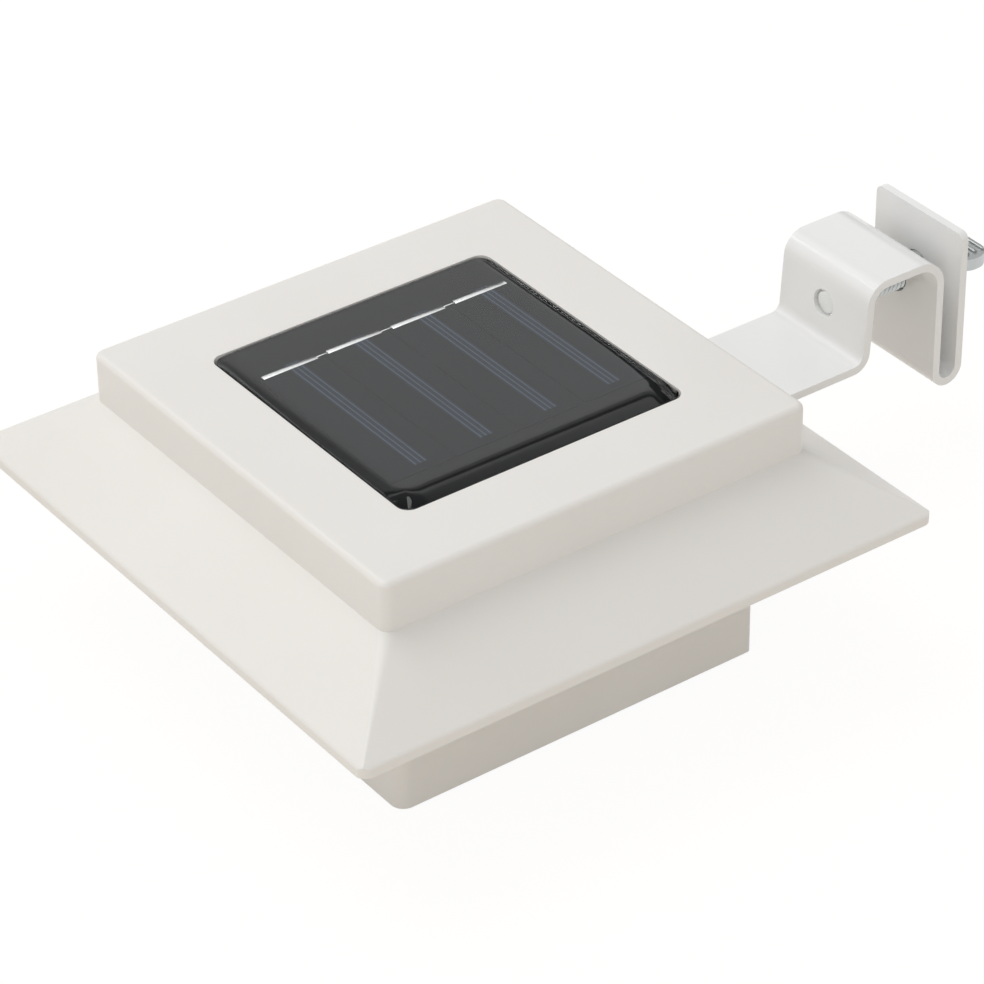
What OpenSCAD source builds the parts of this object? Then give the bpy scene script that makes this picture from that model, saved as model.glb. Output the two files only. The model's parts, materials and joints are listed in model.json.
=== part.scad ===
// Solar fence light: a square lamp under a small panel, on a steel strap that hooks over a rail.
// The origin is the centre of the flat base. +Y runs to the strap, -Y is the front, +Z is up.

/* [Top housing] */
// Width of the square rim
rim_w = 120; // [114:1:130]
// Height of the upright band round the rim
rim_h = 1.8; // [1.5:0.1:2.6]
// Corner radius of the rim, seen from above
rim_corner_r = 2; // [1:0.5:4]
// Radius of the rim's upper edge
rim_edge_r = 1.2; // [0.6:0.1:1.6]
// Width of the square plinth that frames the panel
plinth_w = 88.4; // [86:0.2:94]
// Height of the plinth's upright sides
plinth_h = 9.6; // [8.6:0.1:11]
// Corner radius of the plinth, seen from above
plinth_corner_r = 2; // [1.6:0.2:4]
// Radius of the plinth's upper edges
plinth_edge_r = 1.2; // [0.6:0.1:1.5]
// Drop from the plinth's top to the underside of the rim
rim_drop = 22.4; // [21.5:0.1:24]
// Height of the lamp from its base to the plinth's top
body_h = 53; // [50:0.5:60]
// Wall of the moulded shells
wall = 2; // [1.8:0.1:2.2]
// Width of the square well that the panel lies in
well_w = 59; // [56:0.5:60]
// Corner radius of the well
well_corner_r = 2.4; // [2:0.2:4]
// Depth of the well
well_depth = 3.2; // [3:0.1:3.6]
// Thickness of the well's floor
well_floor = 1.6; // [1.2:0.1:2]

/* [Lower housing] */
// Step from the plinth's side in to the box's side
box_inset = 6; // [4.5:0.1:7]
// Radius of the box's two front corners
box_front_r = 2.6; // [1:0.2:6]
// Radius of the box's two rear corners
box_rear_r = 1; // [0.6:0.1:1.6]
// Thickness of the bottom cover
cover_t = 2; // [1.8:0.1:2.6]
// Gap between the cover's edge and the box's wall
cover_play = 0.15; // [0.1:0.05:0.3]
// Width of the ledge that the cover lies on
ledge_w = 1.6; // [1.2:0.1:2]
// Height of that ledge
ledge_h = 1.6; // [1:0.1:2.4]
// Gap between the box's wall and its socket in the top housing
socket_play = 0.2; // [0.1:0.05:0.4]
// Height of the socket's rib under the plinth
socket_h = 3; // [2:0.5:5]

/* [Solar panel] */
// Gap between the panel and the well, all round
panel_play = 0.4; // [0.2:0.1:0.8]
// Thickness of the adhesive bead under the panel
bead_t = 0.5; // [0.4:0.1:0.6]
// Width of the adhesive bead
bead_w = 4; // [3:0.5:6]
// Thickness of the panel's circuit board
panel_board_t = 1; // [0.8:0.1:1.2]
// Thickness of the resin that is cast over the cells
resin_t = 1.6; // [1.4:0.1:1.8]
// Width of the border over which the resin rounds down
resin_fall_w = 7; // [4:0.5:9]
// Height that the resin rounds down by
resin_fall = 1; // [0.6:0.1:1.1]
// Number of cells side by side
cell_count = 4; // [3:1:5]
// Border of the panel at the cells' ends
cell_end_border = 8.6; // [7:0.1:10]
// Border of the panel beside the first and last cells
cell_side_border = 2.1; // [2:0.1:4]
// Thickness of a cell
pv_cell_t = 0.3; // [0.2:0.05:0.4]
// Gap between two cells
pv_cell_gap = 0.4; // [0.2:0.1:0.8]
// Width of the tinned ribbon across the cells' ends
ribbon_w = 1.2; // [0.8:0.1:2]
// Thickness of the ribbon
ribbon_t = 0.2; // [0.15:0.05:0.3]

/* [Battery] */
// Length of the cell over its button
cell_l = 50.5; // [48:0.5:51]
// Radius of the cell
cell_r = 7.25; // [6.8:0.05:7.4]
// Radius of the cell's button
button_r = 2.75; // [2.2:0.05:3.2]
// Height of the cell's button
button_h = 1.2; // [0.8:0.1:1.6]
// Gap between the cell and its holder
cell_play = 0.35; // [0.2:0.05:0.5]
// Wall of the holder
holder_wall = 1.2; // [1:0.1:1.5]
// Room for the spring behind the cell
spring_room = 5.6; // [5:0.1:7]
// Radius of the spring's wire
spring_wire_r = 0.3; // [0.25:0.05:0.35]
// Number of curls in the spring
spring_curls = 4; // [3:1:5]

/* [Light] */
// Distance of the light from the lamp's centre, towards the front
light_y = 15; // [14:0.5:17]
// Width of the lens that shows
lens_w = 44; // [42:1:46]
// Depth of the lens that shows
lens_d = 20; // [18:1:20]
// Corner radius of the lens
lens_r = 3; // [2:0.5:5]
// Width of the lens's hidden flange
lens_flange = 1.8; // [1.4:0.1:2.2]
// How far the lens lies above the base
lens_rise = 0.4; // [0.2:0.1:0.8]
// Distance between the lamps
led_pitch = 14.4; // [13.6:0.1:15]
// Radius of a lamp's dome
led_r = 2.5; // [2.3:0.05:2.7]
// Height of the reflector
reflector_h = 11; // [9:0.5:14]
// Radius of a reflector cup at its mouth
cup_mouth_r = 6.6; // [6:0.1:6.6]
// Thickness of the lamp board and the control board
board_t = 1.2; // [1:0.1:1.6]

/* [Switch] */
// Distance of the switch from the lamp's centre, towards the rear
switch_y = 22; // [20:0.5:23]
// Travel of the switch
switch_travel = 3; // [2:0.5:3.5]
// Length of the switch's knob
knob_l = 4; // [3:0.5:5]
// Width of the switch's knob
knob_w = 3; // [2:0.5:4]

/* [Bracket] */
// Width of the steel strap
strap_w = 24; // [20:1:28]
// Thickness of the strap
strap_t = 1.6; // [1.2:0.1:2]
// Distance from the rim to the foot of the strap's front wall
reach = 24.9; // [20:0.1:30]
// Length of the tongue inside the box
tongue_in = 16.7; // [15:0.1:18]
// Lean of the front wall, in degrees
wall_lean = 4; // [0:1:6]
// Height of the arch's top above the tongue
arch_rise = 16.2; // [15:0.1:20]
// Clear width of the arch at the screw
arch_gap = 15.5; // [14:0.1:18]
// Clear width of the slot between the inner leg and the plate
slot_gap = 3.9; // [3:0.1:5]
// Drop from the arch's top to the bottom of the hook
hook_drop = 28.8; // [26:0.1:34]
// Height of the plate's top above the arch's top
plate_rise = 2.8; // [1:0.1:4]
// Inner radius of the bend at the wall's foot
foot_bend_r = 2; // [1.5:0.1:3]
// Inner radius of the arch's front bend
front_bend_r = 3; // [2:0.1:4]
// Inner radius of the arch's rear bend
rear_bend_r = 4.4; // [3:0.1:5]
// Corner radius of the plate and the tongue
strap_corner_r = 1.6; // [0.8:0.1:5]
// Radius of the screw hole in the front wall
wall_hole_r = 2.75; // [2:0.05:3.2]

/* [Thumb screw] */
// Drop of the screw's axis from the arch's top
screw_drop = 9.1; // [8.6:0.1:11]
// Outer radius of the screw's thread
stud_r = 3; // [2.5:0.05:3.2]
// Radial gap of the screw in its tapped collar
thread_play = 0.05; // [0.03:0.01:0.08]
// Travel of the screw as it is slackened
screw_travel = 15; // [7:0.5:15]
// Travel of the screw as it is tightened
screw_press = 1; // [0:0.5:1]
// Length of the cap on the screw's tip
cap_l = 3; // [2.6:0.1:3]
// Gap between the cap and the hole in the front wall
cap_play = 0.35; // [0.3:0.05:0.5]
// How far the cap's face lies back from the front wall's face
tip_recess = 0.5; // [0.2:0.1:1]
// Width of the grip
grip_w = 13; // [11:0.5:18]
// Length of the grip behind its hub
grip_l = 7.4; // [7:0.1:12]
// Thickness of the grip
grip_t = 2.4; // [2:0.1:3]

/* [Hidden] */

$fn = 64;
over = 0.5;
seat_gap = 0.2;
shell_white = "#e9e7e3";
steel_white = "#ececea";
zinc = "#b9bdbd";

box_w = plinth_w - 2 * box_inset;

// Heights above the base
plinth_z = body_h - plinth_h;
rim_z = body_h - rim_drop;
well_floor_z = body_h - well_depth;
well_z = well_floor_z - well_floor;
cell_gap = 0.3;
deck_top = well_z - cell_gap - 2 * (cell_r + cell_play) - holder_wall;
deck_z = deck_top - wall;
deck_pad_h = 0.8;
tongue_top = deck_z - deck_pad_h;
tongue_z = tongue_top - strap_t;
box_top = well_z - seat_gap;

// Slope of the skirt between the rim and the plinth
skirt_run = (rim_w - plinth_w) / 2;
skirt_rise = plinth_z - rim_z - rim_h;
skirt_len = norm([skirt_run, skirt_rise]);
skirt_normal = [skirt_rise, skirt_run] / skirt_len;

// Screws and bosses in the housing
boss_r = 3.2;
tapping_r = 1.3;
tapping_play = 0.05;
tapping_head_r = 2.5;
tapping_head_h = 1.8;
tapping_l = 8;
head_share = 0.8;
tip_share = 0.3;
cross_shares = [1.1, 0.25];
hole_play = 0.35;
boss_inset = 4.7;
boss_at = box_w / 2 - wall - boss_inset;
case_boss_y = 14;

// Panel
panel_w = well_w - 2 * panel_play;
panel_corner_r = well_corner_r - panel_play;
panel_board_z = well_floor_z + bead_t;
cells_z = panel_board_z + panel_board_t;
resin_top = cells_z + resin_t;
pv_cell_l = panel_w - 2 * cell_end_border;
cells_w = panel_w - 2 * cell_side_border;
pv_cell_w = (cells_w - (cell_count - 1) * pv_cell_gap) / cell_count;
cells_shift = 1.2;
resin_play = 0.05;
ribbon_inset = 1;
ribbon_jog = 0.5;

// Light
light_at = -light_y;
flange_w = lens_w + 2 * lens_flange;
flange_d = lens_d + 2 * lens_flange;
ledge_t = 0.9;
lens_t = 1.7;
reflector_z = ledge_t + lens_t + over;
lamp_board_z = reflector_z + reflector_h;
post_r = 2.6;
post_x = flange_w / 2 + post_r + over;
led_rim_step = 0.4;
led_rim_r = led_r + led_rim_step;
led_rim_h = 1;
led_h = 8.6;
led_pin_r = 0.3;
led_pin_x = 1.27;
pin_play = 0.1;

// Switch
pocket_depth = 2.6;
pocket_web = 1.4;
pocket_wall = 1.6;
knob_play = 0.3;
knob_h = 1.9;
pocket_end_room = 3;
pocket_side_room = 2;
pocket_r = 1;
pocket_l = knob_l + switch_travel + 2 * pocket_end_room;
pocket_w = knob_w + 2 * pocket_side_room;
switch_z = pocket_depth + pocket_web;
switch_h = 5.2;
switch_body_w = 7;
switch_shell_t = 0.8;
stem_w = 2;
stem_l = 2.6;
stem_in = 2.8;
stem_top = switch_z + stem_in;
slot_l = stem_l + switch_travel + 2 * knob_play;

// Battery
holder_len = cell_l + spring_room;
holder_half = holder_len / 2;
contact_t = 0.4;
cell_z = deck_top + holder_wall + cell_r + cell_play;
cell_plus_x = holder_half - contact_t;
cell_minus_x = cell_plus_x - cell_l;
holder_grip = 2;
holder_side_h = cell_r + cell_play + holder_wall + holder_grip;
spring_seat_gap = 0.25;
spring_end_r = 2.4;
spring_foot_r = 4.6;

// Boards and leads above the deck
control_w = 34;
control_d = 12;
control_y = -25;
standoff_h = 3;
standoff_r = 2.2;
peg_r = 1.1;
control_z = deck_top + standoff_h;
lead_r = 0.55;
lead_hole_r = 2.2;

// Strap
lean_sin = sin(wall_lean);
lean_cos = cos(wall_lean);
tongue_y = box_w / 2 - tongue_in;
foot_y = rim_w / 2 + reach;
arch_top = tongue_top + arch_rise;
screw_z = arch_top - screw_drop;
foot_c = [foot_y - foot_bend_r * lean_cos, tongue_top + foot_bend_r];
wall_start = foot_c + foot_bend_r * [lean_cos, -lean_sin];
wall_end_z = arch_top - (front_bend_r + strap_t) * (1 - lean_sin);
wall_l = (wall_end_z - wall_start.y) / lean_cos;
front_c_y = wall_start.x + wall_l * lean_sin + (front_bend_r + strap_t) * lean_cos;
wall_y_at_screw = wall_start.x + (screw_z - wall_start.y) * lean_sin / lean_cos;
wall_back_y = wall_y_at_screw + strap_t / lean_cos;
leg_front_y = wall_back_y + arch_gap;
leg_back_y = leg_front_y + strap_t;
crown_l = leg_back_y - strap_t - rear_bend_r - front_c_y;
hook_z = arch_top - hook_drop;
hook_c_z = hook_z + slot_gap / 2 + strap_t;
leg_l = arch_top - strap_t - rear_bend_r - hook_c_z;
plate_front_y = leg_back_y + slot_gap;
plate_back_y = plate_front_y + strap_t;
plate_top = arch_top + plate_rise;
plate_l = plate_top - hook_c_z;
strap_legs = [
  [foot_c.x - tongue_y, 90 - wall_lean, foot_bend_r],
  [wall_l, wall_lean - 90, front_bend_r],
  [crown_l, -90, rear_bend_r],
  [leg_l, 180, slot_gap / 2],
  [plate_l, 0, 0]
];
strap_screw_x = 6.5;
strap_screw_in = 8;
strap_screw_y = box_w / 2 - wall - strap_screw_in;
strap_boss_h = 6;
collar_r = 4.3;
collar_l = 1.5;
slot_play = 0.15;

// Thumb screw
cap_r = wall_hole_r - cap_play;
cap_chamfer = 0.3;
tip_y = wall_y_at_screw + tip_recess;
hub_gap = 1.3;
hub_y = plate_back_y + collar_l + hub_gap;
hub_r = 4;
hub_l = 4;
stud_in_hub = 2.8;
neck_r = 1;
neck_head_r = 1.6;
neck_head_l = 1;
cap_seat = 0.3;
tip_chamfer = 0.7;
grip_corner_r = 3.4;
rib_count = 3;
rib_pitch = 1.9;
rib_r = 0.45;
grip_start = 1.2;

// Outlines and helpers

// A rectangle with round corners, centred
module pad(w, d, r) {
  square([w - 2 * r, d], center = true);
  square([w, d - 2 * r], center = true);
  for (x = [-1, 1], y = [-1, 1])
    translate([x * (w / 2 - r), y * (d / 2 - r)]) circle(r);
}

// The lower box's outline, drawn in by inset, with softer front corners than rear ones
module box_outline(inset) {
  half = box_w / 2 - inset;
  front = max(box_front_r - inset, 0);
  rear = max(box_rear_r - inset, 0);
  translate([-half, front - half]) square([2 * half, 2 * half - front - rear]);
  translate([front - half, -half]) square([2 * (half - front), half]);
  translate([rear - half, 0]) square([2 * (half - rear), half]);
  for (x = [-1, 1]) {
    if (front > 0) translate([x * (half - front), front - half]) circle(front);
    if (rear > 0) translate([x * (half - rear), half - rear]) circle(rear);
  }
}

module along_x(l) rotate([90, 0, 90]) linear_extrude(l, center = true) children();
module along_y(l) rotate([90, 0, 0]) linear_extrude(l, center = true) children();
module raise(z, h) translate([0, 0, z]) linear_extrude(h) children();
module four(x, y) for (sx = [-1, 1], sy = [-1, 1]) translate([sx * x, sy * y, 0]) children();

// A square block with round corners and a round upper edge
module soft_block(w, h, corner_r, edge_r) {
  for (turn = [0, 90]) rotate(turn) along_y(w - 2 * corner_r) {
    translate([-w / 2, 0]) square([w, h - edge_r]);
    translate([edge_r - w / 2, 0]) square([w - 2 * edge_r, h]);
    for (x = [-1, 1]) translate([x * (w / 2 - edge_r), h - edge_r]) circle(edge_r);
  }
  four(w / 2 - corner_r, w / 2 - corner_r) rotate_extrude() {
    square([corner_r, h - edge_r]);
    square([corner_r - edge_r, h]);
    intersection() {
      translate([corner_r - edge_r, h - edge_r]) circle(edge_r);
      square([corner_r, h]);
    }
  }
}

// A pan-head tapping screw that points up, its head under the seat at z = 0
module tapping_screw(l) {
  difference() {
    translate([0, 0, -tapping_head_h])
      cylinder(h = tapping_head_h, r1 = tapping_head_r * head_share, r2 = tapping_head_r);
    for (turn = [0, 90]) rotate(turn)
      translate([0, 0, -tapping_head_h])
        cube([tapping_head_r * cross_shares.x, tapping_head_r * cross_shares.y, tapping_head_h], center = true);
  }
  cylinder(h = l - tapping_r, r = tapping_r);
  translate([0, 0, l - tapping_r]) cylinder(h = tapping_r, r1 = tapping_r, r2 = tapping_r * tip_share);
}

// Steps along a route: the ring of points about each of its points, then the tube's skin
function unit(v) = v / norm(v);
function heading(p, i) = unit(p[min(i + 1, len(p) - 1)] - p[max(i - 1, 0)]);
function ring(p, i, r, sides, side) =
  let (t = heading(p, i), u = unit(cross(t, side)), v = cross(u, t))
  [for (k = [0:sides - 1]) p[i] + r * (cos(360 * k / sides) * u + sin(360 * k / sides) * v)];
module tube(p, r, sides, side) {
  n = len(p);
  points = [for (i = [0:n - 1]) each ring(p, i, r, sides, side)];
  walls = [for (i = [0:n - 2], k = [0:sides - 1])
    let (a = i * sides + k, b = i * sides + (k + 1) % sides)
    each [[a, b, b + sides], [a, b + sides, a + sides]]];
  first = [for (k = [1:sides - 2]) [0, k + 1, k]];
  last = [for (k = [1:sides - 2]) (n - 1) * sides * [1, 1, 1] + [0, k, k + 1]];
  polyhedron([for (q = points) q], concat(walls, first, last));
}

// A route with its corners drawn as short curves
function curve(a, b, c, n) =
  [for (k = [0:n]) let (s = k / n) (1 - s) * (1 - s) * a + 2 * s * (1 - s) * b + s * s * c];
function eased(p, r, n) = concat([p[0]],
  [for (i = [1:len(p) - 2])
    each curve(p[i] + r * unit(p[i - 1] - p[i]), p[i], p[i] + r * unit(p[i + 1] - p[i]), n)],
  [p[len(p) - 1]]);

// A square turned into the frame whose two sides are drawn by one outline of half width and height
module square_roof(l) intersection() { along_y(l) children(); rotate(90) along_y(l) children(); }

// Top housing
rim_edge_drop = rim_edge_r * tan(atan2(skirt_run, skirt_rise) / 2);
rim_edge_c = [rim_w / 2 - rim_edge_r, rim_z + rim_h - rim_edge_drop];
inner_rim = rim_w / 2 - wall;
inner_plinth = plinth_w / 2 - wall;
inner_rim_z = rim_z + rim_h - (wall * skirt_len - wall * skirt_rise) / skirt_run;
inner_plinth_z = inner_rim_z + (inner_rim - inner_plinth) * skirt_rise / skirt_run;

module skirt_outline() {
  tangent = rim_edge_c + rim_edge_r * skirt_normal;
  for (m = [0, 1]) mirror([m, 0]) {
    polygon([[0, rim_z], [rim_w / 2, rim_z], [rim_w / 2, rim_edge_c.y], tangent,
             [plinth_w / 2, plinth_z], [0, plinth_z]]);
    translate(rim_edge_c) circle(rim_edge_r);
  }
}
module hollow_outline() {
  for (m = [0, 1]) mirror([m, 0])
    polygon([[0, rim_z - over], [inner_rim, rim_z - over], [inner_rim, inner_rim_z],
             [inner_plinth, inner_plinth_z], [inner_plinth, body_h - wall], [0, body_h - wall]]);
}

module top_housing() color(shell_white) {
  difference() {
    union() {
      intersection() {
        square_roof(rim_w) skirt_outline();
        raise(rim_z, body_h) pad(rim_w, rim_w, rim_corner_r);
      }
      translate([0, 0, plinth_z - wall])
        soft_block(plinth_w, plinth_h + wall, plinth_corner_r, plinth_edge_r);
    }
    difference() {
      square_roof(rim_w) hollow_outline();
      raise(well_z, body_h) pad(well_w + 2 * well_floor, well_w + 2 * well_floor, well_corner_r);
      raise(box_top - socket_h, body_h) difference() {
        box_outline(-socket_play - well_floor);
        box_outline(-socket_play);
      }
      for (x = [-1, 1], y = [-1, 1])
        translate([x * boss_at, y * case_boss_y, deck_top]) cylinder(h = body_h, r = boss_r);
    }
    raise(well_floor_z, body_h) pad(well_w, well_w, well_corner_r);
    for (x = [-1, 1], y = [-1, 1])
      translate([x * boss_at, y * case_boss_y, 0])
        cylinder(h = deck_z + tapping_l + over, r = tapping_r + tapping_play);
    for (x = [-1, 1])
      translate([x * panel_lead_x, panel_lead_y, 0]) cylinder(h = body_h, r = panel_hole_r);
  }
}

// Solar panel
panel_lead_x = 12;
bead_clear = 1.5;
panel_lead_y = bead_w + bead_clear - panel_w / 2;
panel_hole_r = 1.4;
ribbon_x = ribbon_inset - pv_cell_l / 2;
cells_at = -0.4;
cell_pitch = pv_cell_w + pv_cell_gap;

module panel_bead() color("#d8dad6") raise(well_floor_z, bead_t) difference() {
  pad(panel_w, panel_w, panel_corner_r);
  square(panel_w - 2 * bead_w, center = true);
}
module panel_board() color("#2c4a3c") difference() {
  raise(panel_board_z, panel_board_t) pad(panel_w, panel_w, panel_corner_r);
  for (x = [-1, 1])
    translate([x * panel_lead_x, panel_lead_y, 0]) cylinder(h = body_h, r = lead_r + pin_play);
}
module each_cell()
  for (i = [0:cell_count - 1])
    translate([cells_at, cells_shift + (i - (cell_count - 1) / 2) * cell_pitch, cells_z]) children();
module cell_plate(play) raise(0, pv_cell_t + play)
  square([pv_cell_l + 2 * play, pv_cell_w + 2 * play], center = true);
module solar_cells() color("#2b3036") each_cell() cell_plate(0);
module ribbon(play)
  for (i = [0:cell_count - 1])
    translate([cells_at + ribbon_x + ribbon_jog * (i % 2),
               cells_shift + (i - (cell_count - 1) / 2) * cell_pitch,
               cells_z + pv_cell_t + ribbon_t / 2 + play / 2])
      cube([ribbon_w + 2 * play, cell_pitch + (play > 0 ? 2 * play : 0), ribbon_t + play], center = true);
module cell_ribbon() color("#c9cfd2") ribbon(0);
module resin_outline() {
  flat = panel_w / 2 - resin_fall_w;
  fall_r = (resin_fall_w * resin_fall_w + resin_fall * resin_fall) / (2 * resin_fall);
  translate([-flat, cells_z]) square([2 * flat, resin_t]);
  for (m = [0, 1]) mirror([m, 0]) intersection() {
    translate([flat, resin_top - fall_r]) circle(fall_r, $fn = 256);
    translate([0, cells_z]) square([panel_w / 2, resin_t]);
  }
}
module panel_resin() color("#5a6062") difference() {
  intersection() {
    square_roof(panel_w) resin_outline();
    raise(cells_z, resin_t) pad(panel_w, panel_w, panel_corner_r);
  }
  each_cell() translate([0, 0, -over]) raise(0, over) square([pv_cell_l, pv_cell_w], center = true);
  each_cell() cell_plate(resin_play);
  ribbon(resin_play);
}

// Lower housing
light_hole_x = 8;
switch_hole_x = 4;
lead_bend_y = -13.5;
light_lead_y = -20.5;
deck_holes = [[light_hole_x, light_lead_y], [-light_hole_x, light_lead_y], [switch_hole_x, lead_bend_y]];
rail_h = 1.4;
rail_t = 1.2;
rail_l = 10;
holder_half_w = cell_r + cell_play + holder_wall;
peg_inset = 2.6;
control_peg_x = control_w / 2 - peg_inset;
cover_seat_z = 4.2;
screw_cup_r = 4;
screw_cup_z = 2.4;

module lower_housing() color(shell_white) difference() {
  union() {
    linear_extrude(box_top) difference() {
      box_outline(0);
      box_outline(wall);
    }
    raise(deck_z, wall) box_outline(wall / 2);
    raise(cover_t, ledge_h) difference() {
      box_outline(wall / 2);
      box_outline(wall + ledge_w);
      for (x = [-1, 1], y = [-1, 1]) translate([x * boss_at, y * boss_at]) circle(screw_cup_r + cover_play);
    }
    four(boss_at, boss_at) translate([0, 0, cover_seat_z])
      cylinder(h = deck_top - cover_seat_z, r = boss_r);
    for (x = [-1, 1]) translate([x * strap_screw_x, strap_screw_y, tongue_top])
      cylinder(h = deck_top + strap_boss_h - tongue_top, r = boss_r);
    translate([0, box_w / 2 - wall - strap_screw_x, tongue_top + deck_pad_h])
      cube([strap_w, 2 * strap_screw_x, 2 * deck_pad_h], center = true);
    for (x = [-1, 1]) translate([x * control_peg_x, control_y, deck_z + over]) {
      cylinder(h = control_z - deck_z - over, r = standoff_r);
      cylinder(h = control_z - deck_z + board_t, r = peg_r);
    }
    for (x = [-1, 1], y = [-1, 1])
      translate([x * (holder_half - rail_l), y * (holder_half_w + rail_t / 2 + seat_gap / 2),
                 deck_top + rail_h / 2])
        cube([rail_l, rail_t, rail_h + over], center = true);
  }
  translate([0, box_w / 2, tongue_z + strap_t / 2])
    cube([strap_w + 2 * slot_play, 3 * wall, strap_t + 2 * slot_play], center = true);
  four(boss_at, boss_at) cylinder(h = cover_seat_z + tapping_l, r = tapping_r + tapping_play);
  for (x = [-1, 1], y = [-1, 1]) translate([x * boss_at, y * case_boss_y, 0])
    cylinder(h = body_h, r = tapping_r + hole_play);
  for (x = [-1, 1]) translate([x * strap_screw_x, strap_screw_y, 0])
    cylinder(h = tongue_z + tapping_l + over, r = tapping_r + tapping_play);
  for (p = deck_holes) translate([p.x, p.y, 0]) cylinder(h = body_h, r = lead_hole_r);
}
module housing_screws() color(zinc)
  for (x = [-1, 1], y = [-1, 1]) translate([x * boss_at, y * case_boss_y, deck_z]) tapping_screw(tapping_l);

// Bottom cover, its screws and the lens
module bottom_cover() color(shell_white) difference() {
  union() {
    linear_extrude(cover_t) box_outline(wall + cover_play);
    four(boss_at, boss_at) cylinder(h = cover_seat_z, r = screw_cup_r);
    for (x = [-1, 1]) translate([x * post_x, light_at, 0]) cylinder(h = lamp_board_z, r = post_r);
    raise(0, ledge_t + lens_t + over) translate([0, light_at]) difference() {
      pad(flange_w + 2 * ledge_w, flange_d + 2 * ledge_w, lens_r + lens_flange);
      pad(flange_w - ledge_w, flange_d - ledge_w, lens_r);
    }
    raise(0, switch_z) translate([0, switch_y])
      pad(pocket_l + 2 * pocket_wall, pocket_w + 2 * pocket_wall, pocket_wall + pocket_r);
  }
  four(boss_at, boss_at) {
    cylinder(h = screw_cup_z, r = tapping_head_r + hole_play);
    cylinder(h = body_h, r = tapping_r + hole_play);
  }
  for (x = [-1, 1]) translate([x * post_x, light_at, lamp_board_z - tapping_l + board_t - over])
    cylinder(h = tapping_l, r = tapping_r + tapping_play);
  translate([0, light_at, 0]) {
    raise(-over, body_h) pad(lens_w + 2 * cover_play, lens_d + 2 * cover_play, lens_r);
    raise(ledge_t, body_h) pad(flange_w + 2 * cover_play, flange_d + 2 * cover_play, lens_r + lens_flange);
  }
  translate([0, switch_y, 0]) {
    raise(-over, pocket_depth + over) pad(pocket_l, pocket_w, pocket_r);
    linear_extrude(body_h) square([slot_l, stem_w + 2 * knob_play], center = true);
  }
}
module cover_screws() color(zinc)
  four(boss_at, boss_at) translate([0, 0, screw_cup_z]) tapping_screw(tapping_l);
module lens() color("#dfe6e8") translate([0, light_at, 0]) {
  raise(ledge_t, lens_t) pad(flange_w, flange_d, lens_r + lens_flange);
  raise(lens_rise, lens_t) pad(lens_w, lens_d, lens_r);
}

// Light
cup_wall = 0.8;
throat_play = 0.4;
throat_r = led_rim_r + throat_play;
lamp_board_r = 2;
cup_rim_t = 1;
module three() for (i = [-1, 0, 1]) translate([i * led_pitch, light_at, 0]) children();
module reflector() color("#d7dadb") difference() {
  union() {
    raise(reflector_z, cup_rim_t) translate([0, light_at])
      pad(2 * led_pitch + 2 * cup_mouth_r + 2 * cup_wall, 2 * cup_mouth_r + 2 * cup_wall, cup_mouth_r);
    three() translate([0, 0, reflector_z])
      cylinder(h = reflector_h, r1 = cup_mouth_r + cup_wall, r2 = throat_r + cup_wall);
  }
  three() translate([0, 0, reflector_z - over]) cylinder(h = over, r = cup_mouth_r);
  three() translate([0, 0, reflector_z]) cylinder(h = reflector_h, r1 = cup_mouth_r, r2 = throat_r);
  three() translate([0, 0, lamp_board_z - over]) cylinder(h = 2 * over, r = throat_r);
}
module led_board() color("#e7e9e4") difference() {
  raise(lamp_board_z, board_t) translate([0, light_at])
    pad(2 * post_x + 2 * post_r, 2 * cup_mouth_r, lamp_board_r);
  for (x = [-1, 1]) translate([x * post_x, light_at, 0]) cylinder(h = body_h, r = tapping_r + hole_play);
  three() for (x = [-1, 1]) translate([x * led_pin_x, 0, 0]) cylinder(h = body_h, r = led_pin_r + pin_play);
}
module leds() color("#eef0e6") three() {
  translate([0, 0, lamp_board_z - led_rim_h]) cylinder(h = led_rim_h, r = led_rim_r);
  translate([0, 0, lamp_board_z - led_h + led_r]) cylinder(h = led_h - led_r, r = led_r);
  translate([0, 0, lamp_board_z - led_h + led_r]) sphere(led_r);
  for (x = [-1, 1]) translate([x * led_pin_x, 0, lamp_board_z - led_rim_h])
    cylinder(h = led_rim_h + 2 * board_t, r = led_pin_r);
}
module led_board_screws() color(zinc)
  for (x = [-1, 1]) translate([x * post_x, light_at, lamp_board_z + board_t]) rotate([180, 0, 0])
    tapping_screw(tapping_l);

// Switch, drawn with its knob at one end of the slot
switch_l = slot_l + 4 * switch_shell_t;
module switch_body() color("#2e3032") translate([0, switch_y, switch_z]) difference() {
  union() {
    raise(0, switch_h) square([switch_l, switch_body_w], center = true);
    raise(0, switch_shell_t) square([pocket_l, switch_body_w - 2 * switch_shell_t], center = true);
    for (x = [-1, 1]) translate([x * stem_l, 0, switch_h + switch_shell_t])
      cube([switch_shell_t, stem_w, 2 * switch_shell_t + over], center = true);
  }
  raise(-over, stem_top - switch_z + knob_play + over)
    square([slot_l, stem_w + 2 * knob_play], center = true);
}
module switch_knob() color("#1f2021") translate([-switch_travel / 2, switch_y, 0]) {
  translate([0, 0, pocket_depth - knob_play - knob_h / 2]) difference() {
    cube([knob_l, knob_w, knob_h], center = true);
    for (x = [-1, 0, 1]) translate([x * knob_l / 4, 0, -knob_h / 2])
      cube([knob_l / 10, knob_w + over, knob_h / 3], center = true);
  }
  raise(pocket_depth - knob_play - over, stem_top - pocket_depth + knob_play + over)
    square([stem_l, stem_w], center = true);
}

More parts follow.
